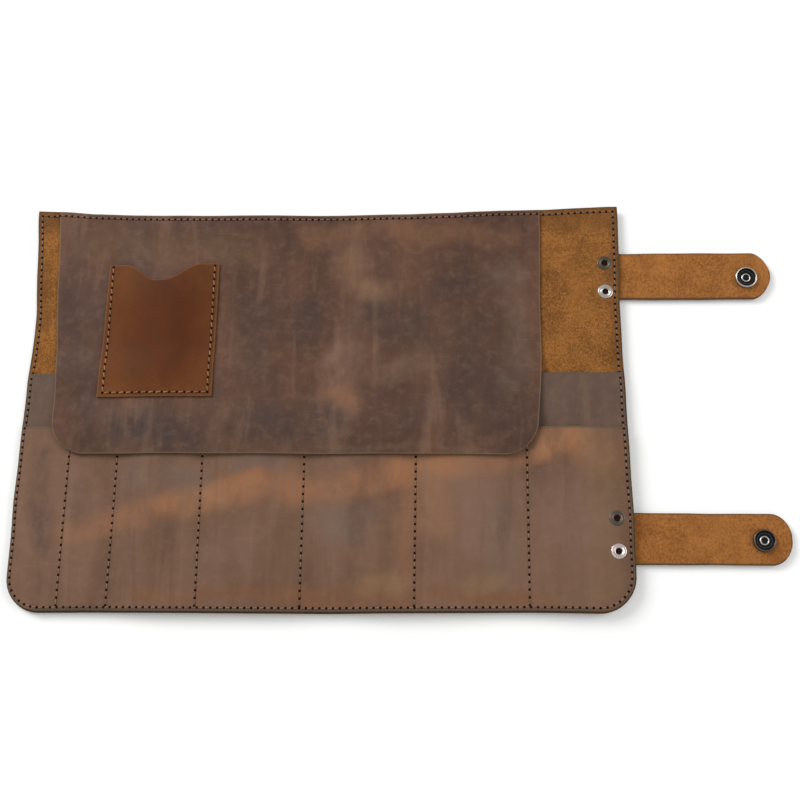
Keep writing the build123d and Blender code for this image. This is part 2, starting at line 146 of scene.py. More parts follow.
EDGE_ROUND = 0.5
POCKET_CROWN = 1.9
# Share of the front pockets' crown that the back panel takes on.
BACK_SHARE = 0.22
# Length over which the flap steps down from one layer to the next.
FLAP_STEP = 20
LEFT_SINK = 2.6
MIDDLE_SINK = 1.7
STUD_REACH = 30


# ---------------- heights of the layers
def smooth(t):
    """0 to 1 with level ends."""
    t = np.clip(t, 0, 1)
    return t * t * (3 - 2 * t)


def hump(x, low, high):
    """0 at low and high, 1 half-way."""
    t = np.clip((x - low) / (high - low), 0, 1)
    return np.sin(math.pi * t) ** 2


def lie(x, y):
    """How far the soft layers sink between the hardware under them, with faint waves left of the straps."""
    middle = hump(x, -84, 2) + hump(x, 24, 112)
    sag = -LEFT_SINK * smooth((-135 - x) / 45) - MIDDLE_SINK * middle
    stud = sum(np.exp(-((x - s[0]) ** 2 + (y - s[1]) ** 2) / STUD_REACH**2) for s in STUDS)
    wave = 0.35 * np.sin(x / 23 + y / 41) * np.sin(y / 31 - 1) + 0.2 * np.sin(x / 9.5 - y / 17)
    free = 1 - smooth((x - 96) / 25)
    return sag * (1 - np.clip(stud, 0, 1)) + wave * free * 0.6


LEFT_NOMINAL = LEFT_TOP + SIDE_LEAN_LEFT
POCKETS = list(zip([LEFT_NOMINAL + 5] + DIVIDERS, DIVIDERS + [126.0]))


def crown(x, y):
    """Rise of the front panel between its seams."""
    rise = sum(min(1, (b - a) / 55) * np.clip(hump(x, a + 0.8, b - 0.8), 0, 1) ** 0.6 for a, b in POCKETS)
    return POCKET_CROWN * rise * smooth((y - CASE_BOTTOM - 6) / 42)


def shell_low(x, y):
    return SHELL_Z + lie(x, y)


def shell_top(x, y):
    return BACK_Z + lie(x, y)


def back_top(x, y):
    return FRONT_Z + lie(x, y) + BACK_SHARE * crown(x, y)


def front_low(x, y):
    return FRONT_Z + lie(x, y) + crown(x, y) + 0.02


def front_top(x, y):
    return front_low(x, y) + PANEL_T


def flap_low(x, y):
    """The flap rests on the front pockets, then steps down over the back panel and onto the shell."""
    over_front = FRONT_Z + PANEL_T + 0.35 + 0.7 * POCKET_CROWN + 0.3 * crown(x, y)
    over_back = FRONT_Z + 0.45 + BACK_SHARE * POCKET_CROWN
    over_shell = BACK_Z + 0.05
    first = smooth((y - FRONT_TOP_Y) / FLAP_STEP)
    second = smooth((y - BACK_TOP_Y) / FLAP_STEP)
    return over_front + (over_back - over_front) * first + (over_shell - over_back) * second + lie(x, y)


def flap_top(x, y):
    return flap_low(x, y) + FLAP_T


def card_low(x, y):
    """The card pocket hugs the flap at its seam and stands off a little inside."""
    across = hump(x, CARD_LOW[0] + 3, CARD_HIGH[0] - 3) ** 0.4
    stand = across * smooth((y - CARD_LOW[1] - 3) / 12)
    return flap_top(x, y) + 0.5 * stand


def card_top(x, y):
    return card_low(x, y) + CARD_T


# ---------------- outlines
def corner(y, low, radius):
    """How far a rounded lower corner draws a side in at height y."""
    rise = np.clip(radius - (y - low), 0, radius)
    return radius - np.sqrt(np.maximum(radius**2 - rise**2, 0))


# Where each edge leaves its straight line: (place along the edge, how far it moves).
LEFT_TRIM = [
    (-128, -2.2), (-90, -2.9), (-60, -3.1), (-40, -2.5), (-28, -2.1), (-10, -1.5), (15, -1.2), (30, 0.2),
    (50, 1.1), (62, 1.7), (72, 1.2), (85, 0.4), (105, 0.0), (128, -0.5),
]
RIGHT_TRIM = [
    (-128, 0.3), (-105, 1.0), (-70, 1.7), (-50, 1.5), (-30, 0.8), (0, 0.1), (25, 0.1), (60, 0.9), (100, 0.9),
    (128, 0.5),
]
TOP_TRIM = [
    (-235, 3.0), (-213, 2.0), (-197, 0.5), (-182, 0.0), (-150, -1.9), (-120, -2.4), (10, -2.4), (35, -1.6),
    (50, -0.4), (66, 0.4), (96, 0.2), (112, 0.9), (135, 1.8),
]
BOTTOM_TRIM = [
    (-232, 0.6), (-180, 1.3), (-80, 1.5), (-36, 1.7), (0, 2.3), (50, 3.0), (80, 3.5), (100, 3.4), (140, 3.0),
]


def trim(at, pairs):
    """How far an edge moves at a place along it."""
    places, moves = zip(*pairs)
    return np.interp(at, places, moves)


def case_left(y, inset=0.0):
    """X of the case's left side at height y, or of a line inside it."""
    share = (y - CASE_BOTTOM) / (CASE_TOP - CASE_BOTTOM)
    ripple = 0.25 * np.sin(y / 19) + 0.15 * np.sin(y / 7 + 1)
    curl = -0.9 * smooth((y - 105) / 20)
    lean = SIDE_LEAN_LEFT * (1 - share) + 1.6 * np.sin(math.pi * share)
    side = LEFT_TOP + lean + curl + ripple + trim(y, LEFT_TRIM)
    return side + inset + corner(y, CASE_BOTTOM + inset, CORNER_R - inset)


def case_right(y, inset=0.0):
    """X of the case's right side at height y, or of a line inside it."""
    share = (y - CASE_BOTTOM) / (CASE_TOP - CASE_BOTTOM)
    ripple = 0.2 * np.sin(y / 15 + 2) + 0.12 * np.sin(y / 6)
    side = RIGHT_BOTTOM + SIDE_LEAN_RIGHT * share - 1.5 * hump(y, 10, CASE_TOP)
    side = side + ripple + trim(y, RIGHT_TRIM)
    return side - inset - corner(y, CASE_BOTTOM + inset, CORNER_R - inset)


def settle(x, y):
    """The hide's own top and bottom edges, which aren't quite straight."""
    top_part = smooth((y - 62) / (CASE_TOP - 70))
    bottom_part = smooth((-62 - y) / 58)
    return x, y + trim(x, TOP_TRIM) * top_part + trim(x, BOTTOM_TRIM) * bottom_part


def flap_left(y, inset=0.0):
    """X of the flap's left side at height y."""
    share = (y - FLAP_BOTTOM) / (CASE_TOP - FLAP_BOTTOM)
    side = FLAP_LEFT_BOTTOM + (FLAP_LEFT_TOP - FLAP_LEFT_BOTTOM) * share + 0.4 * np.sin(y / 14)
    return side + inset + corner(y, FLAP_BOTTOM + inset, FLAP_CORNER_R - inset)


def flap_right(y, inset=0.0):
    """X of the flap's right side at height y."""
    side = FLAP_RIGHT + 0.4 * np.sin(y / 17 + 1) - FLAP_RIGHT_DRAW * smooth((45 - y) / 75)
    return side - inset - corner(y, FLAP_BOTTOM + inset, FLAP_CORNER_R - inset)


# ---------------- mesh helpers
def mesh(name, verts, faces, materials, indices=None, attributes=None, sharp=50):
    """A mesh object from mm coordinates, with its rest places kept for the materials."""
    data = bpy.data.meshes.new(name)
    verts = np.asarray(verts, float)
    data.from_pydata((verts * MM).tolist(), [], faces)
    rest = data.attributes.new("rest", "FLOAT_VECTOR", "POINT")
    rest.data.foreach_set("vector", (verts * MM).ravel().astype(np.float32))
    for key, values in (attributes or {}).items():
        layer = data.attributes.new(key, "FLOAT", "POINT")
        layer.data.foreach_set("value", np.asarray(values, np.float32))
    for material in materials:
        data.materials.append(material)
    if indices is not None:
        data.polygons.foreach_set("material_index", indices)
    data.polygons.foreach_set("use_smooth", [True] * len(data.polygons))
    data.set_sharp_from_angle(angle=math.radians(sharp))
    data.validate()
    piece = bpy.data.objects.new(name, data)
    bpy.context.scene.collection.objects.link(piece)
    return piece


# Grid places next to a free edge, the width they take, and the least distance between two places.
EDGE_STEPS = [0.0, 0.14, EDGE_ROUND, 1.3, 2.6]
EDGE_ZONE = 3.4
LEAST_STEP = 0.12
# How far in from a side its outline still pulls the grid.
PULL_REACH = 70.0


def spread(low, high, step, free_low, free_high, extra=()):
    """Grid places from low to high: close together at free edges and wherever extra asks."""
    places = set(np.linspace(low, high, max(2, round((high - low) / step) + 1)))
    places |= {e for e in extra if low + 3 < e < high - 3}
    if free_low:
        places = {p for p in places if p > low + EDGE_ZONE} | {low + s for s in EDGE_STEPS}
    if free_high:
        places = {p for p in places if p < high - EDGE_ZONE} | {high - s for s in EDGE_STEPS}
    kept = []
    for p in sorted(places):
        if kept and p - kept[-1] < LEAST_STEP:
            continue
        kept.append(p)
    return np.array(kept)


def rounded(distance):
    """Height lost at a rounded edge, by the distance from it."""
    t = np.clip(1 - distance / EDGE_ROUND, 0, 1)
    return EDGE_ROUND * (1 - np.sqrt(1 - t**2))


def sheet(name, xs, ys, left, right, top, low, free, materials, shift=None):
    """A closed piece of leather over a grid.

    xs are nominal places, which the side outlines pull with them. free says which edges (left, right,
    bottom, top) are real ones and not cuts between two pieces.
    """
    nominal, gy = np.meshgrid(xs, ys)
    gx = nominal
    if left is not None:
        gx = gx + (left(gy) - xs[0]) * np.clip(1 - (nominal - xs[0]) / PULL_REACH, 0, 1)
    if right is not None:
        gx = gx + (right(gy) - xs[-1]) * np.clip(1 - (xs[-1] - nominal) / PULL_REACH, 0, 1)
    near = np.full_like(gx, 99.0)
    if free[0]:
        near = np.minimum(near, gx - gx[:, :1])
    if free[1]:
        near = np.minimum(near, gx[:, -1:] - gx)
    if free[2]:
        near = np.minimum(near, gy - ys[0])
    if free[3]:
        near = np.minimum(near, ys[-1] - gy)
    if shift is not None:
        gx, gy = shift(gx, gy)
    drop = rounded(near)
    z_top = top(gx, gy) - drop
    z_low = low(gx, gy) + drop * 0.8
    rows, cols = gx.shape
    upper = np.stack([gx, gy, z_top], -1).reshape(-1, 3)
    lower = np.stack([gx, gy, z_low], -1).reshape(-1, 3)
    verts = np.concatenate([upper, lower])
    total = rows * cols
    faces, indices = [], []
    for r in range(rows - 1):
        for c in range(cols - 1):
            a, b, d, e = r * cols + c, r * cols + c + 1, (r + 1) * cols + c + 1, (r + 1) * cols + c
            faces.append((a, b, d, e))
            indices.append(0)
            faces.append((total + e, total + d, total + b, total + a))
            indices.append(1)
    ring = list(range(cols))
    ring += [r * cols + cols - 1 for r in range(1, rows)]
    ring += [(rows - 1) * cols + c for c in range(cols - 2, -1, -1)]
    ring += [r * cols for r in range(rows - 2, 0, -1)]
    for i, a in enumerate(ring):
        b = ring[(i + 1) % len(ring)]
        faces.append((b, a, total + a, total + b))
        indices.append(2)
    edge = np.clip(near, 0, 30).ravel()
    return mesh(name, verts, faces, materials, indices, {"edge": np.concatenate([edge, edge])})


def turned(profile, at, segments=56):
    """Vertices and faces of a closed ring turned about Z; profile is a closed loop of (radius, height)."""
    verts, faces = [], []
    for s in range(segments):
        angle = 2 * math.pi * s / segments
        for r, z in profile:
            verts.append((at[0] + r * math.cos(angle), at[1] + r * math.sin(angle), at[2] + z))
    n = len(profile)
    for s in range(segments):
        t = (s + 1) % segments
        for i in range(n):
            j = (i + 1) % n
            faces.append((s * n + i, t * n + i, t * n + j, s * n + j))
    return verts, faces


# ---------------- materials
def toned(shade, share):
    """A colour made darker or lighter."""
    return tuple(share * v for v in shade)


class Nodes:
    """Short hand for building one material's nodes."""

    # How far, in metres, noise moves the border of a patch.
    WANDER = 0.024

    def __init__(self, name):
        self.material = bpy.data.materials.new(name)
        self.material.use_nodes = True
        self.tree = self.material.node_tree
        self.shader = self.tree.nodes["Principled BSDF"]

    def node(self, kind, **values):
        made = self.tree.nodes.new("ShaderNode" + kind)
        for key, value in values.items():
            if hasattr(made, key):
                setattr(made, key, value)
            else:
                self.put(made.inputs[key.replace("_", " ")], value)
        return made

    def put(self, socket, value):
        if isinstance(value, bpy.types.NodeSocket):
            self.tree.links.new(value, socket)
        else:
            socket.default_value = value

    def rest(self, stretch=(1, 1, 1), turn=0.0):
        """The piece's place at rest in metres, stretched, so that a pattern moves with the leather."""
        where = self.node("Attribute", attribute_name="rest").outputs["Vector"]
        mapping = self.node("Mapping", Vector=where, Scale=stretch, Rotation=(0, 0, turn))
        return mapping.outputs["Vector"]

    def noise(self, vector, scale, detail=3.0, rough=0.5, distortion=0.0):
        made = self.node("TexNoise", Vector=vector, Scale=scale, Detail=detail)
        made.inputs["Roughness"].default_value = rough
        made.inputs["Distortion"].default_value = distortion
        return made.outputs["Fac"]

    def ramp(self, factor, stops):
        made = self.node("ValToRGB", Fac=factor)
        line = made.color_ramp
        while len(line.elements) < len(stops):
            line.elements.new(0.5)
        for element, (place, colour) in zip(line.elements, stops):
            element.position = place
            element.color = (*colour, 1) if len(colour) == 3 else colour
        return made.outputs["Color"]

    def range(self, value, low, high, to_low=0.0, to_high=1.0):
        made = self.node("MapRange", Value=value, interpolation_type="SMOOTHSTEP")
        for socket, number in zip(("From Min", "From Max", "To Min", "To Max"), (low, high, to_low, to_high)):
            made.inputs[socket].default_value = number
        return made.outputs["Result"]

    def math(self, operation, a, b=0.0):
        made = self.node("Math", operation=operation)
        self.put(made.inputs[0], a)
        self.put(made.inputs[1], b)
        return made.outputs[0]

    def vector(self, operation, *values):
        made = self.node("VectorMath", operation=operation)
        for socket, value in zip(made.inputs, values):
            self.put(socket, value)
        return made.outputs["Value" if operation == "LENGTH" else "Vector"]

    def mix(self, factor, a, b):
        made = self.node("Mix", data_type="RGBA")
        self.put(made.inputs[0], factor)
        self.put(made.inputs[6], a if not isinstance(a, tuple) or len(a) == 4 else (*a, 1))
        self.put(made.inputs[7], b if not isinstance(b, tuple) or len(b) == 4 else (*b, 1))
        return made.outputs[2]

    def bump(self, height, strength, distance, normal=None):
        made = self.node("Bump", Height=height, Strength=strength, Distance=distance)
        if normal is not None:
            self.put(made.inputs["Normal"], normal)
        return made.outputs["Normal"]

    def patch(self, centre, size, turn=0.0, wander=None):
        """1 inside a soft rounded patch at a place on the case in mm, 0 outside."""
        where = self.node("Attribute", attribute_name="rest").outputs["Vector"]
        nudge = 0.0
        if wander is not None:
            where = self.vector("MULTIPLY_ADD", wander, (self.WANDER, self.WANDER, 0), where)
            nudge = self.WANDER / 2
        moved = self.vector("SUBTRACT", where, (centre[0] * MM + nudge, centre[1] * MM + nudge, 0))
        spun = self.node("VectorRotate", rotation_type="Z_AXIS", Vector=moved, Angle=-turn)
        folded = self.vector("ABSOLUTE", spun.outputs["Vector"])
        small = min(size)
        past = self.vector("SUBTRACT", folded, ((size[0] - small) * MM, (size[1] - small) * MM, 0))
        kept = self.vector("MAXIMUM", past, (0, 0, 0))
        share = self.vector("MULTIPLY", kept, (1 / (small * MM), 1 / (small * MM), 0))
        return self.range(self.vector("LENGTH", share), 1.5, 0.25)

    def edge(self):
        """Distance in mm from the piece's nearest free edge."""
        return self.node("Attribute", attribute_name="edge").outputs["Fac"]

    def set(self, **values):
        for key, value in values.items():
            self.put(self.shader.inputs[key.replace("_", " ")], value)


DARK = (0.042, 0.025, 0.019)
PURPLE = (0.082, 0.043, 0.031)
BROWN = (0.120, 0.062, 0.037)
LIGHT = (0.175, 0.094, 0.058)
RUST = (0.235, 0.103, 0.050)
EDGE_OLIVE = (0.078, 0.060, 0.040)
FLAP_EDGE_TONE = (0.150, 0.105, 0.062)
PULL_PALE = (0.190, 0.108, 0.068)
PULL_DARK = (0.070, 0.040, 0.030)


def grain_leather(name, tone, patches, seed, edge_shade=EDGE_OLIVE, edge_width=2.4):
    """Waxed pull-up leather: cloudy browns, soft streaks, placed rust and dark patches, fine grain."""
    m = Nodes(name)
    cloud_place = m.vector("ADD", m.rest((1, 0.62, 1)), (seed, seed * 0.7, 0))
    clouds = m.noise(cloud_place, 17, 4, 0.55, 0.35)
    streaks = m.noise(m.rest((2.2, 0.35, 1)), 26, 3, 0.5, 0.2)
    mixed = m.math("ADD", m.math("MULTIPLY", clouds, 0.60), m.math("MULTIPLY", streaks, 0.40))
    colour = m.ramp(mixed, tone)
    wander_node = m.node("TexNoise", Vector=m.rest(), Scale=22.0, Detail=3.0)
    broken = m.range(m.noise(m.rest((1, 0.55, 1)), 75, 5, 0.65, 0.4), 0.30, 0.66, 0.45, 1.15)
    for centre, size, turn, shade, share in patches:
        spot = m.patch(centre, size, turn, wander_node.outputs["Color"])
        colour = m.mix(m.math("MULTIPLY", m.math("MULTIPLY", spot, broken), share), colour, shade)
    # Pale and dark pulls that run up the case, as in hide that was rolled and handled.
    pulls = m.noise(m.rest((3.0, 0.42, 1), 0.05), 24, 4, 0.55, 0.5)
    colour = m.mix(m.range(pulls, 0.54, 0.72, 0, 0.34), colour, PULL_PALE)
    colour = m.mix(m.range(pulls, 0.46, 0.28, 0, 0.30), colour, PULL_DARK)
    # Fine mottling, light scuffs and the darker, polished leather near an edge.
    mottle = m.noise(m.rest(), 160, 5, 0.65)
    colour = m.mix(m.range(mottle, 0.42, 0.75, 0, 0.20), colour, (0.22, 0.125, 0.078))
    dirt = m.noise(m.rest((1, 0.8, 1)), 75, 5, 0.7, 0.3)
    colour = m.mix(m.range(dirt, 0.52, 0.76, 0, 0.13), colour, (0.040, 0.024, 0.018))
    scuff = m.noise(m.rest((0.5, 9, 1), 0.5), 60, 2, 0.5, 0.1)
    scuff_share = m.math("MULTIPLY", m.range(scuff, 0.68, 0.78), 0.08)
    colour = m.mix(scuff_share, colour, (0.30, 0.19, 0.12))
    colour = m.mix(m.range(m.edge(), edge_width, 0.3, 0, 0.75), colour, edge_shade)
    pores = m.node("TexVoronoi", Vector=m.rest(), Scale=1100.0, Randomness=1.0)
    creases = m.noise(m.rest(), 420, 5, 0.65, 0.4)
    hollow = m.math("ADD", m.math("MULTIPLY", pores.outputs["Distance"], 0.5), creases)
    fine = m.bump(hollow, 0.22, 0.0004)
    soft = m.bump(m.noise(m.rest((1, 0.7, 1)), 55, 4, 0.5), 0.25, 0.0012, fine)
    rough = m.range(m.noise(m.rest(), 45, 4), 0.3, 0.7, 0.56, 0.74)
    m.set(Base_Color=colour, Roughness=rough, Normal=soft, Specular_IOR_Level=0.13)
    return m.material


# Darker places on the suede: centre and half size in mm.
SUEDE_DARKER_PLACES = [((-229, 92), (6, 46)), ((116, 122), (34, 9)), ((-205, 122), (30, 8)), ((137, 60), (5, 60))]


def suede(name, seed, light, dark, spot, spot_share, edge_width):
    """The hide's flesh side: orange tan, napped, with dark speckle that thickens in places."""
    m = Nodes(name)
    speck = m.noise(m.rest((1, 0.8, 1)), 780, 4, 0.75, 0.2)
    cover = m.noise(m.rest(), 24 + seed, 3, 0.55)
    nap = m.noise(m.rest(), 70, 6, 0.72, 0.4)
    colour = m.ramp(nap, [(0.30, dark), (0.52, light), (0.75, toned(light, 1.25))])
    spots = m.math("ADD", speck, m.math("MULTIPLY", cover, 0.35))
    colour = m.mix(m.range(spots, 0.60, 0.82, 0, spot_share), colour, spot)
    glint = m.noise(m.rest(), 900, 2, 0.5)
    colour = m.mix(m.range(glint, 0.55, 0.70, 0, 0.42), colour, (0.40, 0.185, 0.055))
    darker_wander = m.node("TexNoise", Vector=m.rest((1, 0.4, 1)), Scale=60.0, Detail=4.0).outputs["Color"]
    for centre, size in SUEDE_DARKER_PLACES:
        share = m.math("MULTIPLY", m.patch(centre, size, 0, darker_wander), 0.48)
        colour = m.mix(share, colour, (0.105, 0.046, 0.017))
    colour = m.mix(m.range(m.edge(), edge_width, 0.2, 0, 0.80), colour, (0.062, 0.042, 0.022))
    fibres = m.noise(m.rest(), 1500, 4, 0.7, 0.6)
    lumps = m.bump(m.noise(m.rest(), 330, 4, 0.65), 0.55, 0.0008)
    m.set(Base_Color=colour, Roughness=0.95, Specular_IOR_Level=0.06, Sheen_Weight=0.06, Sheen_Roughness=0.5)
    m.set(Normal=m.bump(fibres, 0.5, 0.0005, lumps))
    m.shader.inputs["Sheen Tint"].default_value = (0.9, 0.6, 0.35, 1)
    return m.material


def cut_edge(name, shade, pale):
    """A cut leather edge: fibrous layers, burnished on the outside."""
    m = Nodes(name)
    layers = m.noise(m.rest((1, 1, 9)), 240, 4, 0.6, 0.3)
    colour = m.ramp(layers, [(0.30, toned(shade, 0.6)), (0.55, shade), (0.78, pale)])
    m.set(Base_Color=colour, Roughness=0.72, Specular_IOR_Level=0.25)
    m.set(Normal=m.bump(m.noise(m.rest((1, 1, 4)), 700, 4, 0.6), 0.4, 0.0004))
    return m.material


def card_leather():
    """Smooth reddish leather, darker in its worn middle, orange near the seams."""
    m = Nodes("card_leather")
    middle = ((CARD_LOW[0] + CARD_HIGH[0]) / 2 + 2, (CARD_LOW[1] + CARD_HIGH[1]) / 2 + 3)
    wander = m.node("TexNoise", Vector=m.rest(), Scale=30.0, Detail=3.0).outputs["Color"]
    worn = m.math("MULTIPLY", m.patch(middle, (33, 42), 0, wander), 0.92)
    cloud = m.noise(m.rest((1, 0.6, 1)), 42, 4, 0.6, 0.3)
    orange = m.ramp(cloud, [(0.3, (0.092, 0.029, 0.008)), (0.7, (0.134, 0.047, 0.012))])
    red = m.ramp(cloud, [(0.3, (0.058, 0.014, 0.003)), (0.7, (0.084, 0.021, 0.005))])
    colour = m.mix(worn, orange, red)
    fine = m.noise(m.rest(), 260, 5, 0.65)
    colour = m.mix(m.range(fine, 0.5, 0.75, 0, 0.3), colour, (0.050, 0.015, 0.006))
    colour = m.mix(m.range(m.edge(), 0.9, 0.2, 0, 0.5), colour, (0.22, 0.110, 0.045))
    pores = m.node("TexVoronoi", Vector=m.rest(), Scale=1300.0)
    m.set(Base_Color=colour, Roughness=m.range(cloud, 0.3, 0.7, 0.52, 0.64), Specular_IOR_Level=0.07)
    m.set(Normal=m.bump(m.math("ADD", pores.outputs["Distance"], fine), 0.16, 0.0003))
    return m.material


def thread_material(name, shade):
    """Waxed twisted thread."""
    m = Nodes(name)
    twist = m.node("TexWave", Vector=m.rest((1, 1, 1), 0.7), Scale=420.0, Distortion=2.0, Detail=1.0)
    tint = m.noise(m.rest(), 90, 3)
    colour = m.mix(m.range(tint, 0.35, 0.7), shade, toned(shade, 0.55))
    colour = m.mix(m.math("MULTIPLY", twist.outputs["Fac"], 0.35), colour, toned(shade, 0.45))
    m.set(Base_Color=colour, Roughness=0.62, Normal=m.bump(twist.outputs["Fac"], 0.5, 0.0002))
    return m.material


def plain(name, shade, rough, metal=0.0, wear=0.25, gloss=0.5):
    """Plated metal, a black surface or the painted shade of a hole, with a little wear in colour and gloss.
    """
    m = Nodes(name)
    coord = m.node("TexCoord").outputs["Object"]
    grime = m.noise(coord, 420, 4, 0.6, 0.2)
    colour = m.mix(m.range(grime, 0.45, 0.75, 0, wear), shade, toned(shade, 0.35))
    m.set(Base_Color=colour, Roughness=m.range(grime, 0.3, 0.8, rough * 0.8, rough * 1.35), Metallic=metal)
    m.set(Specular_IOR_Level=gloss)
    m.set(Normal=m.bump(m.noise(coord, 1800, 3), 0.12, 0.0001))
    return m.material


# Each tone: (place on the noise's range, colour).
FLAP_TONE = [
    (0.28, DARK), (0.42, (0.062, 0.031, 0.021)), (0.54, (0.086, 0.041, 0.026)), (0.68, (0.115, 0.056, 0.033)),
    (0.82, (0.148, 0.072, 0.038)),
]
PANEL_TONE = [(0.28, (0.082, 0.046, 0.033)), (0.42, BROWN), (0.55, (0.148, 0.080, 0.050)), (0.80, LIGHT)]
BACK_TONE = [(0.30, (0.070, 0.045, 0.034)), (0.50, (0.105, 0.064, 0.047)), (0.75, (0.140, 0.086, 0.060))]
OUTER_TONE = [(0.30, DARK), (0.45, PURPLE), (0.58, BROWN), (0.75, (0.17, 0.085, 0.046))]

GREY = (0.048, 0.031, 0.026)
ASH = (0.125, 0.090, 0.070)
PINK = (0.170, 0.098, 0.073)
ORANGE = (0.300, 0.136, 0.060)
FOOT = (0.150, 0.068, 0.034)
# Each patch: centre and half size in mm, turn, colour, share.
PANEL_PATCHES = [
    ((-170, -71), (36, 8), 0.28, RUST, 0.60),
    ((-108, -58), (34, 10), 0.16, ORANGE, 0.62),
    ((-80, -53), (30, 12), 0.10, RUST, 0.60),
    ((-28, -49), (44, 9), 0.20, RUST, 0.72),
    ((22, -38), (30, 9), 0.14, ORANGE, 0.45),
    ((62, -36), (34, 6), 0.12, RUST, 0.60),
    ((104, -24), (22, 12), 0.15, ORANGE, 0.62),
    ((124, -34), (18, 12), 0.0, RUST, 0.35),
    ((12, -76), (6, 38), 0.0, RUST, 0.35),
    ((26, -58), (10, 26), 0.0, ORANGE, 0.25),
    ((-212, -58), (8, 34), 0.05, GREY, 0.50),
    ((-190, -60), (8, 16), 0.0, GREY, 0.35),
    ((-140, -44), (24, 10), 0.0, ASH, 0.45),
    ((-84, -38), (16, 7), 0.0, ASH, 0.50),
    ((-30, -72), (22, 14), 0.0, ASH, 0.55),
    ((52, -66), (16, 28), 0.05, PINK, 0.55),
    ((66, -84), (10, 30), 0.0, ASH, 0.30),
    ((108, -68), (24, 26), 0.0, PINK, 0.60),
    ((-100, -96), (24, 16), 0.3, PINK, 0.35),
    ((-95, -117), (60, 5), 0.0, FOOT, 0.90),
    ((20, -117), (80, 5), 0.0, FOOT, 0.80),
    ((-10, -110), (18, 6), 0.1, (0.22, 0.125, 0.052), 0.45),
    ((56, -108), (14, 7), 0.4, (0.21, 0.120, 0.052), 0.40),
    ((128, -60), (10, 60), 0.0, (0.165, 0.105, 0.055), 0.30),
]
FLAP_PATCHES = [
    ((-150, 106), (62, 9), 0.0, (0.105, 0.060, 0.030), 0.55),
    ((-120, 98), (40, 9), 0.0, (0.125, 0.066, 0.038), 0.45),
    ((10, 112), (70, 8), 0.0, (0.150, 0.072, 0.036), 0.60),
    ((-30, 88), (9, 16), 0.2, (0.165, 0.090, 0.050), 0.55),
    ((-12, 74), (13, 8), -0.2, (0.185, 0.105, 0.060), 0.65),
    ((-26, 46), (7, 22), -0.1, (0.120, 0.068, 0.048), 0.50),
    ((-34, 6), (11, 34), -0.15, (0.165, 0.092, 0.060), 0.62),
    ((-34, 0), (12, 10), 0.0, RUST, 0.45),
    ((4, 22), (24, 7), 0.35, (0.140, 0.080, 0.052), 0.50),
    ((68, 86), (16, 10), 0.3, (0.135, 0.085, 0.062), 0.45),
    ((-104, -20), (5, 14), 0.0, (0.110, 0.066, 0.044), 0.45),
    ((-176, 60), (8, 30), 0.15, (0.135, 0.078, 0.054), 0.45),
    ((-193, 46), (12, 46), 0.0, GREY, 0.35),
    ((-144, -16), (34, 12), 0.0, GREY, 0.85),
    ((-84, 40), (12, 34), 0.1, GREY, 0.65),
    ((-58, 52), (13, 16), 0.0, GREY, 0.60),
    ((-62, -12), (34, 14), 0.0, GREY, 0.80),
    ((0, 56), (24, 16), -0.15, GREY, 0.70),
    ((44, 78), (24, 11), 0.1, GREY, 0.50),
    ((44, 40), (30, 22), 0.0, GREY, 0.55),
    ((52, 2), (36, 24), 0.0, GREY, 0.62),
    ((8, -14), (16, 12), 0.0, GREY, 0.45),
    ((74, 50), (9, 46), 0.0, ASH, 0.30),
    ((10, -29), (60, 2.0), 0.0, (0.130, 0.085, 0.052), 0.22),
]

panel_leather = grain_leather("panel_leather", PANEL_TONE, PANEL_PATCHES, 0.31)
back_leather = grain_leather("back_panel_leather", BACK_TONE, [((60, 4), (80, 30), 0, GREY, 0.3)], 1.7)
flap_leather = grain_leather("flap_leather", FLAP_TONE, FLAP_PATCHES, 2.6, FLAP_EDGE_TONE, 1.1)
outer_leather = grain_leather("outer_leather", OUTER_TONE, [((-60, 20), (60, 30), 0.4, RUST, 0.3)], 4.2)
strap_leather = grain_leather("strap_grain", OUTER_TONE, [((190, 84), (30, 8), 0.1, RUST, 0.35)], 5.9)
shell_suede = suede(
    "shell_suede", 0, light=(0.240, 0.097, 0.024), dark=(0.135, 0.052, 0.014),
    spot=(0.085, 0.032, 0.010), spot_share=0.74, edge_width=2.5,
)
strap_suede = suede(
    "strap_suede", 9, light=(0.292, 0.116, 0.030), dark=(0.225, 0.086, 0.023),
    spot=(0.140, 0.044, 0.012), spot_share=0.66, edge_width=1.5,
)
shell_edge = cut_edge("shell_cut_edge", (0.060, 0.046, 0.026), (0.11, 0.080, 0.042))
panel_edge = cut_edge("panel_cut_edge", (0.105, 0.066, 0.036), (0.21, 0.135, 0.070))
flap_edge = cut_edge("flap_cut_edge", (0.170, 0.120, 0.068), (0.27, 0.19, 0.11))
strap_edge = cut_edge("strap_cut_edge", (0.12, 0.062, 0.024), (0.22, 0.110, 0.042))
card_edge = cut_edge("card_cut_edge", (0.26, 0.135, 0.052), (0.42, 0.25, 0.11))
card_top_leather = card_leather()
thread_brown = thread_material("thread_brown", (0.215, 0.118, 0.066))
thread_tan = thread_material("thread_tan", (0.285, 0.125, 0.038))
# Painted shade for holes: the dark cones at stitch holes and the dark discs in the rivets' holes.
hole_shade = plain("painted_hole_shade", (0.016, 0.006, 0.004), 0.9, gloss=0.02)
nickel = plain("nickel", (0.50, 0.48, 0.44), 0.28, 1.0)
nickel_dark = plain("nickel_tarnished", (0.115, 0.095, 0.075), 0.36, 1.0, 0.5)
nickel_bright = plain("nickel_bright", (0.66, 0.56, 0.53), 0.26, 1.0, 0.2)
# Black for the snap socket's inside, and painted shade down the snap post's hole.
black_and_hole_shade = plain("socket_black_and_hole_shade", (0.006, 0.007, 0.008), 0.38, gloss=0.10)


# ---------------- big leather layers
# At each half: the strips that it joins, and where it starts and stops in X.
HALVES = {"left": (LEFT_NOMINAL, SPLIT_X), "right": (SPLIT_X, RIGHT_BOTTOM)}
STRIPS = {"left": ("left", "middle"), "right": ("right",)}
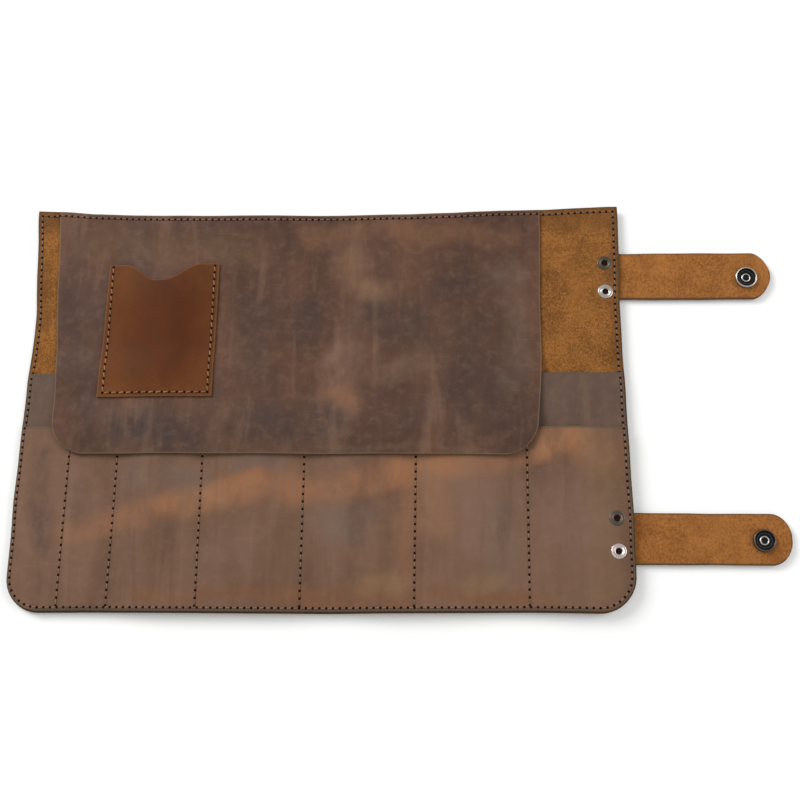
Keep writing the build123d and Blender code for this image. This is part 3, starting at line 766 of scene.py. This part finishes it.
# Extra grid columns beside the seams, across the folds and where the pockets end.
FINE = [d + s for d in DIVIDERS for s in (-3.2, -1.5, -0.6, 0, 0.6, 1.5, 3.2)]
FINE += [FOLD_LEFT[0] + s for s in range(-14, 15, 2)] + [FOLD_RIGHT[0] + s for s in range(-16, 17, 2)]
FINE += [125.0, 127.0]


def fold(piece):
    """Bakes a piece's place into its mesh."""
    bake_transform(piece)


def cad_nodes(base, half):
    """The CAD nodes that one half of a layer stands for."""
    return [f"{base}_{strip}" for strip in STRIPS[half]]


def corner_rows(low, radius):
    """Rows that follow a rounded lower corner closely."""
    return [low + radius * (1 - math.cos(a)) for a in np.linspace(0.22, math.pi / 2, 10)]


def case_layer(name, half, top_y, inset, top, low, materials, step=3.6, extra_rows=()):
    """One half of a layer that has the case's own sides and bottom edge."""
    x_low, x_high = HALVES[half]
    is_left = half == "left"
    start = x_low + inset if is_left else x_low
    end = x_high if is_left else x_high - inset
    xs = spread(start, end, step, is_left, not is_left, FINE)
    rows = corner_rows(CASE_BOTTOM + inset, CORNER_R) + list(extra_rows)
    ys = spread(CASE_BOTTOM + inset, top_y, 4.0, True, True, rows)
    left = (lambda y: case_left(y, inset)) if is_left else None
    right = None if is_left else (lambda y: case_right(y, inset))
    free = (is_left, not is_left, True, True)
    return sheet(f"{name}_{half}", xs, ys, left, right, top, low, free, materials, settle)


PANEL_INSET = 1.1
# Each layer's upper side, under side and edges.
shell_set = [shell_suede, outer_leather, shell_edge]
back_set = [back_leather, outer_leather, panel_edge]
front_set = [panel_leather, outer_leather, panel_edge]
flap_set = [flap_leather, outer_leather, flap_edge]
for half in HALVES:
    shell = case_layer("shell", half, CASE_TOP, 0.0, shell_top, shell_low, shell_set)
    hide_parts(*cad_nodes("outer_shell", half))
    back = case_layer("back_panel", half, BACK_TOP_Y, PANEL_INSET, back_top, shell_top, back_set)
    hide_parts(*cad_nodes("back_pocket_panel", half))
    front = case_layer(
        "front_panel", half, FRONT_TOP_Y, PANEL_INSET, front_top, front_low, front_set, 3.0,
        [CASE_BOTTOM + d for d in (8, 11, 14, 18)],
    )
    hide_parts(*cad_nodes("front_pocket_panel", half))
    for piece in (shell, back, front):
        fold(piece)

# The flap: three parts, and the band that is sewn to the shell.
FLAP_PARTS = {
    "left": (FLAP_LEFT_BOTTOM, FOLD_LEFT[0], "left_strip", "flap_left"),
    "middle": (FOLD_LEFT[0], FOLD_RIGHT[0], "middle_strip", "flap_middle"),
    "right": (FOLD_RIGHT[0], FLAP_RIGHT, "right_strip", "flap_right"),
}
FLAP_ROWS = corner_rows(FLAP_BOTTOM, FLAP_CORNER_R) + [FRONT_TOP_Y + d for d in range(-2, 24, 3)]
FLAP_ROWS += [BACK_TOP_Y + d for d in range(0, 22, 3)] + [BAND_Y - d for d in range(0, 20, 2)]
for part, (x_low, x_high, strip, body) in FLAP_PARTS.items():
    is_left, is_right = part == "left", part == "right"
    xs = spread(x_low, x_high, 3.6, is_left, is_right)
    ys = spread(FLAP_BOTTOM, BAND_Y, 4.0, True, False, FLAP_ROWS)
    cover = sheet(
        f"flap_{part}", xs, ys, flap_left if is_left else None, flap_right if is_right else None,
        flap_top, flap_low, (is_left, is_right, True, False), flap_set, settle,
    )
    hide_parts(f"flap_cover_{part}")
    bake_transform(cover)
for half, (x_low, x_high) in {"left": (FLAP_LEFT_TOP, SPLIT_X), "right": (SPLIT_X, FLAP_RIGHT)}.items():
    is_left = half == "left"
    xs = spread(x_low, x_high, 3.6, is_left, not is_left, FINE)
    ys = spread(BAND_Y, CASE_TOP - 0.6, 2.5, False, True)
    band = sheet(
        f"flap_band_{half}", xs, ys, flap_left if is_left else None, None if is_left else flap_right,
        flap_top, flap_low, (is_left, not is_left, False, True), flap_set, settle,
    )
    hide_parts(*cad_nodes("flap_seam_band", half))
    fold(band)

# Card pocket on the flap's left part, with its thumb notch.
NOTCH_DEPTH = 10.5
NOTCH_SIDES = (24.0, 29.0)
# How far below its edge the pocket still follows the notch, and how far its left foot leans out.
NOTCH_REACH = 44
CARD_LEAN = 1.2
CARD_MIDDLE = (CARD_LOW[0] + CARD_HIGH[0]) / 2 - 2.5


def notch(x, y):
    """Pulls the pocket's upper rows down into the soft, lopsided thumb notch, and leans the left side out."""
    half = np.where(x < CARD_MIDDLE, NOTCH_SIDES[0], NOTCH_SIDES[1])
    t = np.abs(x - CARD_MIDDLE) / half
    depth = NOTCH_DEPTH * (1 - smooth((t - 0.12) / 0.80))
    share = np.clip((y - (CARD_HIGH[1] - NOTCH_REACH)) / NOTCH_REACH, 0, 1)
    below = (CARD_HIGH[1] - y) / (CARD_HIGH[1] - CARD_LOW[1])
    lean = -CARD_LEAN * below * np.clip((CARD_HIGH[0] - x) / 60, 0, 1)
    return x + lean, y - depth * share


card_xs = spread(CARD_LOW[0], CARD_HIGH[0], 1.8, True, True)
card_ys = spread(CARD_LOW[1], CARD_HIGH[1], 2.2, True, True)
card = sheet(
    "card_pocket_leather", card_xs, card_ys, None, None, card_top, card_low, (True, True, True, True),
    [card_top_leather, card_top_leather, card_edge], notch,
)
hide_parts("card_pocket")
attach(card, "flap_left")


# ---------------- stitches
def topmost(x, y):
    """Height of the leather that the edge seam is sewn on."""
    if y > BACK_TOP_Y and FLAP_LEFT_TOP < x < FLAP_RIGHT:
        return float(flap_top(x, y))
    if y > BACK_TOP_Y:
        return float(shell_top(x, y))
    if y > FRONT_TOP_Y:
        return float(back_top(x, y))
    return float(front_top(x, y))


# Each stitch hole is a small dark double cone on the leather: painted shade of the hole.
HOLE_R = 0.85
HOLE_SIDES = 9
HOLE_RIM = 0.08
HOLE_TOP = 0.16
HOLE_DEPTH = 0.45
THREAD_SIDES = 7
THREAD_RINGS = 7
# A stitch ends a little short of both holes, rises between them, dips into them and thins there.
STITCH_GAP = 0.12
STITCH_RISE = 0.26
STITCH_DIP = 0.55
STITCH_THIN = 0.30


def stitch_run(points, heights, shade, slant, radius, verts, faces, indices):
    """Adds the stitches between successive holes, and a small dark double cone of painted shade at each hole,
    to the lists.
    """
    sides, rings = THREAD_SIDES, THREAD_RINGS
    for i in range(len(points) - 1):
        a, b = np.array(points[i]), np.array(points[i + 1])
        along = b - a
        length = np.linalg.norm(along)
        along = along / length
        across = np.array([-along[1], along[0]])
        start = len(verts)
        for r in range(rings):
            t = r / (rings - 1)
            u = 2 * t - 1
            middle = a + along * length * (STITCH_GAP + (1 - 2 * STITCH_GAP) * t) + across * slant * u
            height = heights[i] * (1 - t) + heights[i + 1] * t + STITCH_RISE * (1 - u**4) - STITCH_DIP * u**8
            thick = radius * (1 - STITCH_THIN * u**4)
            for s in range(sides):
                angle = 2 * math.pi * s / sides
                side = middle + across * thick * math.cos(angle)
                verts.append((side[0], side[1], height + 0.85 * thick * math.sin(angle)))
        for r in range(rings - 1):
            for s in range(sides):
                t = (s + 1) % sides
                k = start + r * sides
                faces.append((k + s, k + sides + s, k + sides + t, k + t))
                indices.append(shade)
        faces.append(tuple(start + s for s in range(sides)))
        faces.append(tuple(start + (rings - 1) * sides + s for s in reversed(range(sides))))
        indices.extend([shade, shade])
    for point, height in zip(points, heights):
        start = len(verts)
        for s in range(HOLE_SIDES):
            angle = 2 * math.pi * s / HOLE_SIDES
            x, y = point[0] + HOLE_R * math.cos(angle), point[1] + HOLE_R * math.sin(angle)
            verts.append((x, y, height + HOLE_RIM))
        verts.append((point[0], point[1], height + HOLE_TOP))
        verts.append((point[0], point[1], height - HOLE_DEPTH))
        for s in range(HOLE_SIDES):
            t = (s + 1) % HOLE_SIDES
            faces.append((start + s, start + t, start + HOLE_SIDES))
            faces.append((start + t, start + s, start + HOLE_SIDES + 1))
            indices.extend([2, 2])


def holes_along(path, pitch):
    """Evenly spaced places along a line of points."""
    path = np.array(path, float)
    lengths = np.concatenate([[0], np.cumsum(np.linalg.norm(np.diff(path, axis=0), axis=1))])
    count = max(1, round(lengths[-1] / pitch))
    at = np.linspace(0, lengths[-1], count + 1)
    return [(float(np.interp(s, lengths, path[:, 0])), float(np.interp(s, lengths, path[:, 1]))) for s in at]


def stitches(name, runs, height, pitch, shade, slant=0.16, radius=0.40, settled=True):
    """One piece with every stitch of some runs. shade is 0 for brown thread and 1 for tan."""
    verts, faces, indices = [], [], []
    for path in runs:
        points = holes_along(path, pitch)
        heights = [height(*p) for p in points]
        placed = [[float(v) for v in settle(*p)] for p in points] if settled else points
        stitch_run(placed, heights, shade, slant, radius, verts, faces, indices)
    return mesh(name, verts, faces, [thread_brown, thread_tan, hole_shade], indices, sharp=70)


SEAM_SIDE = 3.0
SEAM_TOP_Y = CASE_TOP - 3.6
SEAM_BOTTOM_Y = CASE_BOTTOM + SEAM_SIDE
EDGE_PITCH = 4.0
DIVIDER_PITCH = 4.6
CARD_SEAM = 2.6


def side_path(side):
    """Points of the edge seam up one side of the case, with the rounded lower corner."""
    radius = CORNER_R - SEAM_SIDE
    ys = [SEAM_BOTTOM_Y + radius * (1 - math.cos(a)) for a in np.linspace(0, math.pi / 2, 14)]
    ys += list(np.linspace(CASE_BOTTOM + CORNER_R, SEAM_TOP_Y, 40))[1:]
    return [(float(side(y, SEAM_SIDE)), y) for y in ys]


left_path = side_path(case_left)
right_path = side_path(case_right)
low_split, high_split = (SPLIT_X, SEAM_BOTTOM_Y), (SPLIT_X, SEAM_TOP_Y)
EDGE_RUNS = {
    "left": [left_path, [left_path[0], low_split], [left_path[-1], high_split]],
    "right": [right_path, [low_split, right_path[0]], [high_split, right_path[-1]]],
}
for half, runs in EDGE_RUNS.items():
    seam = stitches(f"edge_stitches_{half}", runs, topmost, EDGE_PITCH, 0)
    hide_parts(*cad_nodes("edge_seam", half))
    fold(seam)


def divider_height(x, y):
    return float(front_top(x, y)) if y < FRONT_TOP_Y else float(back_top(x, y))


STRIP_DIVIDERS = {"left": DIVIDERS[:3], "middle": DIVIDERS[3:4], "right": DIVIDERS[4:]}
for strip, places in STRIP_DIVIDERS.items():
    runs = [[(x, SEAM_BOTTOM_Y + 1), (x + 0.4 * math.sin(x), FRONT_TOP_Y - 1)] for x in places]
    runs += [[(x, FRONT_TOP_Y + 3), (x, BACK_TOP_Y - 2)] for x in places]
    seam = stitches(f"divider_stitches_{strip}", runs, divider_height, DIVIDER_PITCH, 0)
    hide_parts(f"divider_seam_{strip}")
    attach(seam, f"{strip}_strip")

card_seam_left, card_seam_right = CARD_LOW[0] + CARD_SEAM, CARD_HIGH[0] - CARD_SEAM
card_seam_low, card_seam_high = CARD_LOW[1] + CARD_SEAM, CARD_HIGH[1] - 1.5
card_corners = [
    (card_seam_left, card_seam_high), (card_seam_left, card_seam_low),
    (card_seam_right, card_seam_low), (card_seam_right, card_seam_high),
]
card_runs = [[card_corners[i], card_corners[i + 1]] for i in range(3)]
card_seam = stitches(
    "card_pocket_stitches", card_runs, lambda x, y: float(card_top(x, y)), DIVIDER_PITCH, 1,
    slant=0.35, radius=0.50, settled=False,
)
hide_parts("card_pocket_seam")
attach(card_seam, "flap_left")


# ---------------- straps
BENDS = {side: (hinge(f"{side}_strap_lift")[0], hinge(f"{side}_strap_wrap")[0]) for side in STRAPS}
# How far each strap lies off its nominal place in Y, and how far its tip reaches past its nominal end.
STRAP_NUDGE = {"top": 1.6, "bottom": 0.8}
TIP_EXTRA = {"top": 1.3, "bottom": 2.6}
STRAP_SLIM = 0.35
START_ROUND = 5
WAVE_START = {"top": 0.4, "bottom": 2.3}
# Each tip's rounding: its length, and the power of its curve, where 2 is a circle's.
TIP_ROUND = {"top": (11.5, 1.7), "bottom": (12.5, 2.0)}
STRAP_SPLIT = (BENDS["top"][0] + BENDS["top"][1]) / 2


def strap_top(x, y):
    return np.full_like(x, SHELL_Z)


def strap_low(x, y):
    return np.full_like(x, STRAP_LOW[2])


def strap_shape(centre, nudge, seed, tip_x, tip_r, power):
    """Bends the strap's nominal rectangle to its real outline: a wavering width and a rounded tip."""

    def shift(x, y):
        v = (y - centre) / STRAP_HALF
        wave = 0.35 * np.sin(x / 13 + seed) + 0.2 * np.sin(x / 5 + 2 * seed)
        half = STRAP_HALF - STRAP_SLIM + wave * 0.3
        near = np.clip((x - (tip_x - tip_r)) / tip_r, 0, 1)
        half = half * np.maximum(1 - near**power, 0) ** (1 / power)
        start = np.clip((STRAP_LOW[0] + START_ROUND - x) / START_ROUND, 0, 1)
        half = half - START_ROUND * (1 - np.sqrt(np.maximum(1 - start**2, 0)))
        return x, centre + nudge + v * half

    return shift


for side, centre in STRAPS.items():
    tip_r, power = TIP_ROUND[side]
    tip_x = STRAP_TIP + TIP_EXTRA[side]
    shift = strap_shape(centre, STRAP_NUDGE[side], WAVE_START[side], tip_x, tip_r, power)
    first, second = BENDS[side]
    pieces = (
        ("root", STRAP_LOW[0], STRAP_SPLIT, "right_strip", f"{side}_strap_upright", first),
        ("tail", STRAP_SPLIT, tip_x - 0.05, f"{side}_strap_upright", f"{side}_strap_tail", second),
    )
    for part, x_low, x_high, near_body, far_body, bend in pieces:
        tip = part == "tail"
        extra = [bend + s for s in range(-8, 9)]
        extra += [tip_x - tip_r * (1 - math.sin(a)) for a in np.linspace(0.1, 1.45, 16)] if tip else []
        xs = spread(x_low, x_high, 2.2, not tip, tip, extra)
        ys = spread(centre - STRAP_HALF, centre + STRAP_HALF, 2.2, True, True)
        strap = sheet(
            f"{side}_strap_{part}", xs, ys, None, None, strap_top, strap_low, (not tip, tip, True, True),
            [strap_suede, strap_leather, strap_edge], shift,
        )
        nodes = [f"{side}_strap_end"] if tip else [f"{side}_strap_base", f"{side}_strap_side"]
        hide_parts(*nodes)
        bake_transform(strap)


# ---------------- snaps and rivets
# Profiles are closed loops of (radius, height), turned about Z. On the axis, a radius is nearly nothing.
AXIS = 0.02
SOCKET = [
    (2.0, 0.0), (6.55, 0.0), (6.7, 0.25), (6.7, 1.3), (6.6, 1.85), (6.35, 2.15), (6.05, 2.2), (5.8, 2.1),
    (5.6, 1.8), (5.4, 1.45), (5.1, 1.2), (4.8, 0.9), (4.6, 0.55), (4.1, 0.5), (3.3, 0.5), (3.1, 0.55),
    (2.0, 0.55),
]
# The socket's base and rim, its first points, are metal, and the rest is its black inside.
SOCKET_BANDS = [0] * 7 + [1] * 10
SPRING = [(4.2, 0.95), (4.3, 0.82), (4.5, 0.82), (4.6, 0.98), (4.5, 1.12), (4.3, 1.12)]
POST_ROLL = [
    (1.95, 0.4), (1.95, 0.95), (2.1, 1.14), (2.35, 1.20), (2.62, 1.10), (2.8, 0.9), (2.75, 0.65), (2.5, 0.5),
    (2.5, 0.4),
]
# A dark disc down the post's hole: painted shade.
POST_CORE = [(AXIS, 0.3), (2.0, 0.3), (2.0, 0.5), (AXIS, 0.5)]
CAP_DOME = [
    (AXIS, 0.16), (2.4, 0.10), (4.6, 0.08), (6.0, 0.22), (6.8, 0.52), (7.15, 0.90), (7.2, 1.15), (7.0, 1.28),
    (AXIS, 1.28),
]
RIVET_ROLL = [
    (1.85, -1.2), (1.85, 0.15), (2.0, 0.42), (2.35, 0.56), (2.75, 0.46), (3.1, 0.26), (3.5, 0.24),
    (3.9, 0.34), (4.2, 0.38), (4.45, 0.24), (4.5, 0.06), (4.4, 0.0), (2.4, 0.0), (2.4, -1.2),
]
# A dark disc sunk in each rivet's hole: painted shade inside the hole.
RIVET_PIT = [(AXIS, -0.4), (2.05, -0.4), (2.05, 0.10), (AXIS, 0.10)]


def joined(name, parts):
    """One piece of several turned rings: (profile, place, material), or with (bands, other material) too."""
    verts, faces, indices, materials = [], [], [], []
    for profile, at, material, *banded in parts:
        ring_verts, ring_faces = turned(profile, at)
        start = len(verts)
        verts += ring_verts
        faces += [tuple(start + v for v in face) for face in ring_faces]
        base = len(materials)
        bands = [0] * len(profile)
        materials.append(material)
        if banded:
            bands = banded[0]
            materials.append(banded[1])
        indices += [base + bands[i % len(profile)] for i in range(len(ring_faces))]
    return mesh(name, verts, faces, materials, indices, sharp=42)


for side, centre in STRAPS.items():
    at = (SNAP_X, centre, SHELL_Z)
    ring = nickel_dark if side == "bottom" else nickel
    socket = joined(
        f"{side}_snap_ring",
        [(SOCKET, at, ring, SOCKET_BANDS, black_and_hole_shade), (SPRING, at, nickel_dark)],
    )
    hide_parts(f"{side}_snap_socket")
    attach(socket, f"{side}_strap_tail")
    cap = joined(
        f"{side}_snap_head",
        [(CAP_DOME, (SNAP_X, centre, 0.0), nickel), (POST_ROLL, at, nickel), (POST_CORE, at, black_and_hole_shade)],
    )
    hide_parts(f"{side}_snap_cap")
    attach(cap, f"{side}_strap_tail")

# The four rolled rivets, nearest first, don't shine alike.
rivet_finishes = [nickel_bright, nickel_dark, nickel, nickel_dark]
rivet_parts = []
for (x, y, _), finish in zip(sorted(RIVETS, key=lambda r: r[1]), rivet_finishes):
    height = FRONT_Z + PANEL_T if y < 0 else BACK_Z
    rivet_parts.append((RIVET_ROLL, (x, y, height), finish))
    rivet_parts.append((RIVET_PIT, (x, y, height), hole_shade))
rivets = joined("rivet_rolls", rivet_parts)
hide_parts("strap_rivet_posts")
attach(rivets, "right_strip")

NODE_FINISHES = {"strap_rivet_caps": nickel, "snap_studs": nickel, "snap_stud_posts": nickel_dark}
for node, finish in NODE_FINISHES.items():
    data = frame["nodes"][node].data
    data.materials.clear()
    data.materials.append(finish)


# ---------------- floor, light, camera
def floor():
    """A plain pale floor."""
    m = Nodes("floor_pale")
    m.set(Base_Color=(0.86, 0.86, 0.855, 1), Roughness=0.9, Specular_IOR_Level=0.1)
    data = bpy.data.meshes.new("floor")
    reach = 6.0
    corners = [(-reach, -reach, 0), (reach, -reach, 0), (reach, reach, 0), (-reach, reach, 0)]
    data.from_pydata(corners, [], [(0, 1, 2, 3)])
    data.materials.append(m.material)
    plane = bpy.data.objects.new("floor", data)
    bpy.context.scene.collection.objects.link(plane)


def lamp(name, place, aim, size, watts):
    """A square soft box."""
    data = bpy.data.lights.new(name, "AREA")
    data.size = size
    data.energy = watts
    made = bpy.data.objects.new(name, data)
    made.location = place
    made.rotation_euler = (Vector(aim) - Vector(place)).to_track_quat("-Z", "Y").to_euler()
    bpy.context.scene.collection.objects.link(made)


floor()
lamp("key", (-1.25, 0.95, 1.15), (0, 0, 0), 1.0, 30.5)
lamp("fill", (1.45, 0.15, 1.2), (0, 0, 0), 1.2, 14.4)
world = bpy.data.worlds.new("studio")
world.use_nodes = True
background = world.node_tree.nodes["Background"]
background.inputs["Color"].default_value = (1, 1, 1, 1)
background.inputs["Strength"].default_value = 0.60
bpy.context.scene.world = world
bpy.context.scene.view_settings.view_transform = "Standard"

LENS_MM = 49.5
# The camera's place in metres, and its turn as an axis whose length is the angle in radians.
CAMERA_PLACE = (0.0355, -0.165, 0.6566)
CAMERA_TURN = (0.2521, 0.0463, 0.0061)
camera_data = bpy.data.cameras.new("photo_view")
camera_data.lens = LENS_MM
camera_data.sensor_width = 36
camera = bpy.data.objects.new("photo_view", camera_data)
turn = Vector(CAMERA_TURN)
camera.rotation_euler = Quaternion(turn.normalized(), turn.length).to_euler()
camera.location = CAMERA_PLACE
bpy.context.scene.collection.objects.link(camera)
bpy.context.scene.camera = camera
